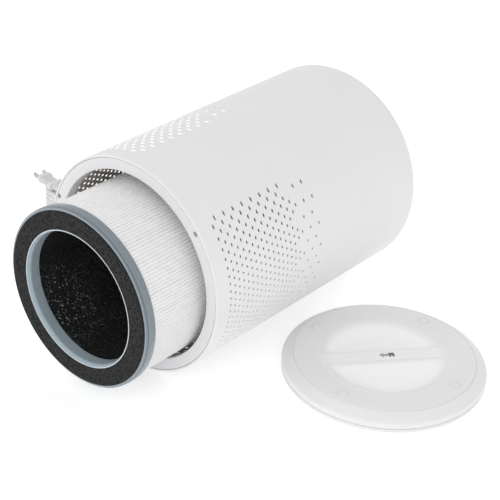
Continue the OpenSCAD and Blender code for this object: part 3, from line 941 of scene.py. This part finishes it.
def make_filter():
    """The cartridge: both caps and their foam, the folded paper, and the net with the charcoal behind it"""
    cap, foam_ring = cap_outline(), foam_outline()
    for name, outline, slot, node in (
        ("filter_cap", cap, "cap_blue", "front_cap"),
        ("filter_cap_inner", flipped(cap), "cap_blue", "rear_cap"),
        ("foam_seal", foam_ring, "foam_black", "front_gasket"),
        ("foam_seal_inner", flipped(foam_ring), "foam_black", "rear_gasket"),
    ):
        piece(name, lathe(outline, 288), FILTER, slot, "filter", [node])
    piece("pleats", make_pleats(), FILTER, "media_white", "filter", ["pleated_media"], sharp=60)
    piece("net", make_net(), FILTER, "mesh_black", "filter", ["core_mesh"])
    backing = [
        (CORE_R + 2.6, CAP_T), (PLEAT_IN - 0.1, CAP_T), (PLEAT_IN - 0.1, FILTER_LEN - CAP_T),
        (CORE_R + 2.6, FILTER_LEN - CAP_T),
    ]
    piece("charcoal", join(lathe(backing, 128), make_granules()), FILTER, "carbon_black", "filter",
          ["carbon_layer"], sharp=20)


make_filter()


# ---------- cover ----------

COVER_R = 114.8
COVER_H = 19.5
SKIN = 2.4
GRIP_R = 70.0
BAR_HALF = 10.5
FOOT_TURN, FOOT_PLACE_R = -44.5, 89


def half_moon(radius, strip, corner, arc_steps=56, corner_steps=8, flat_steps=28):
    """Half a circle beyond a strip, with its two corners rounded"""
    y = strip + corner
    x = math.sqrt((radius - corner) ** 2 - y * y)
    lean = math.degrees(math.atan2(y, x))
    points = arc(x, y, corner, -90, lean, corner_steps)
    points += arc(0, 0, radius, lean, 180 - lean, arc_steps)[1:-1]
    points += arc(-x, y, corner, 180 - lean, 270, corner_steps)
    points += [(-x + 2 * x * i / flat_steps, strip) for i in range(1, flat_steps)]
    return points


def make_bowl():
    """One finger bowl: a rolled lip, a long slope from the bar and a short one up to the rim"""
    # how far out of the grip's circle and of the bar, the corners' radius, and the height over the top
    levels = [
        (2.2, -1.6, 5, 0.0), (1.0, -0.9, 5, -0.08), (-0.2, -0.3, 5, -0.32), (-2.0, 0.1, 5.5, -0.9),
        (-4.6, 0.5, 6.5, -2.1), (-7.8, 1.2, 8, -3.6), (-11.4, 2.8, 9, -5.1), (-15, 6.4, 10, -6.5),
        (-18.5, 11.5, 10, -7.5), (-21.5, 14.5, 8.5, -8.2), (-23.5, 17, 7, -8.5),
    ]
    rings = []
    for out, bar, corner, drop in levels:
        outline = half_moon(GRIP_R + out, BAR_HALF + bar, corner)
        rings.append([(x, y, COVER_H + drop) for x, y in outline])
    count = len(rings[0])
    last = (len(rings) - 1) * count
    verts = [p for ring in rings for p in ring]
    verts.append((0, 37, COVER_H - 8.5))
    faces = bands(count, len(rings) - 1)
    faces += [(last + i, last + (i + 1) % count, len(verts) - 1) for i in range(count)]
    return np.array(verts), faces


def make_cover():
    """The cover's skin with a groove round its rim, and the two finger bowls sunk into it"""
    inner = COVER_R - SKIN
    outline = [
        (0, COVER_H - SKIN), (102, COVER_H - SKIN), (inner, 10), (inner, 0.4), (inner + 0.4, 0),
        (COVER_R - 0.5, 0), (COVER_R, 0.5), (COVER_R, 3.6), (COVER_R - 0.3, 3.95), (COVER_R - 1.4, 4.2),
        (COVER_R - 1.4, 4.7), (COVER_R - 0.3, 4.95), (COVER_R, 5.3), (COVER_R, 10.2),
        *arc(COVER_R - 2.6, 10.2, 2.6, 14, 56, 5),
        (104.8, 18.2), (103.2, 19.05), (102.9, 18.9), (102.6, 18.4), (102.2, 18.4), (101.8, 19.2),
        (101.4, COVER_H), (0, COVER_H),
    ]
    skin = raw_object("cover_skin", lathe(outline, 256), COVER)
    tidy_mesh(skin)
    hole = half_moon(GRIP_R + 2.2, BAR_HALF - 1.6, 5)
    tools = [prism(hole, 10, 25), moved(prism(hole, 10, 25), Matrix.Rotation(math.pi, 4, "Z"))]
    cut(skin, join(*tools), COVER)
    finish_piece(skin, "cover_white", "cover", ["cover_shell"], sharp=30)
    bowl = make_bowl()
    bowls = join(bowl, moved(bowl, Matrix.Rotation(math.pi, 4, "Z")))
    pan = raw_object("finger_bowls", bowls, COVER)
    tidy_mesh(pan)
    wall = pan.modifiers.new("wall", "SOLIDIFY")
    wall.thickness = 1.5 * MM
    wall.offset = -1
    settle(pan)
    finish_piece(pan, "cover_white", "cover", ["grip_pan"], sharp=50)
    pan.data.materials[0] = LOOKS["bowl_white"]


def make_feet():
    """Four round pads on the cover's face"""
    outline = [(0, 0), (6.5, 0), (6.5, 0.8), (6.2, 1.25), (5.6, 1.5), (0, 1.5)]
    feet = []
    for k in range(4):
        turn = Matrix.Rotation(math.radians(FOOT_TURN + 90 * k), 4, "Z")
        feet.append(moved(lathe(outline, 48), turn @ Matrix.Translation((FOOT_PLACE_R, 0, COVER_H))))
    piece("feet", join(*feet), COVER, "foot_grey", "cover", ["foot_pads"])


make_cover()
make_feet()


# ---------- floor and light ----------

def stage():
    """A white floor that gives off a little light, so shadows on it stay faint"""
    size = 12.0
    corners = [(-size, -size, 0), (size, -size, 0), (size, size, 0), (-size, size, 0)]
    mesh = bpy.data.meshes.new("floor")
    mesh.from_pydata(corners, [], [(0, 1, 2, 3)])
    floor = bpy.data.objects.new("floor", mesh)
    bpy.context.scene.collection.objects.link(floor)
    look = Look("floor", (0.92, 0.92, 0.92), 0.8, Emission_Color=(1, 1, 1, 1), Emission_Strength=0.32)
    look.tint(look.noise(900, 2), (0.91, 0.91, 0.91))
    look.bump(look.noise(30, 2), 0.02)
    mesh.materials.append(look.material)


def area_light(name, place, power, target=(0, 0, 0.1), size=1.6):
    """A square light aimed at a point, in metres and watts"""
    light = bpy.data.lights.new(name, "AREA")
    light.size = size
    light.energy = power
    thing = bpy.data.objects.new(name, light)
    bpy.context.scene.collection.objects.link(thing)
    thing.location = place
    thing.rotation_euler = (Vector(target) - Vector(place)).to_track_quat("-Z", "Y").to_euler()


def light_scene():
    """An even white surround with a key light at the right and a weaker fill at the left"""
    world = bpy.data.worlds.new("studio")
    bpy.context.scene.world = world
    world.use_nodes = True
    surround = world.node_tree.nodes["Background"]
    surround.inputs["Color"].default_value = (1, 1, 1, 1)
    surround.inputs["Strength"].default_value = 0.84
    area_light("key", KEY_PLACE, 11)
    area_light("fill", FILL_PLACE, 7)
    bpy.context.scene.view_settings.view_transform = "Standard"


stage()
light_scene()
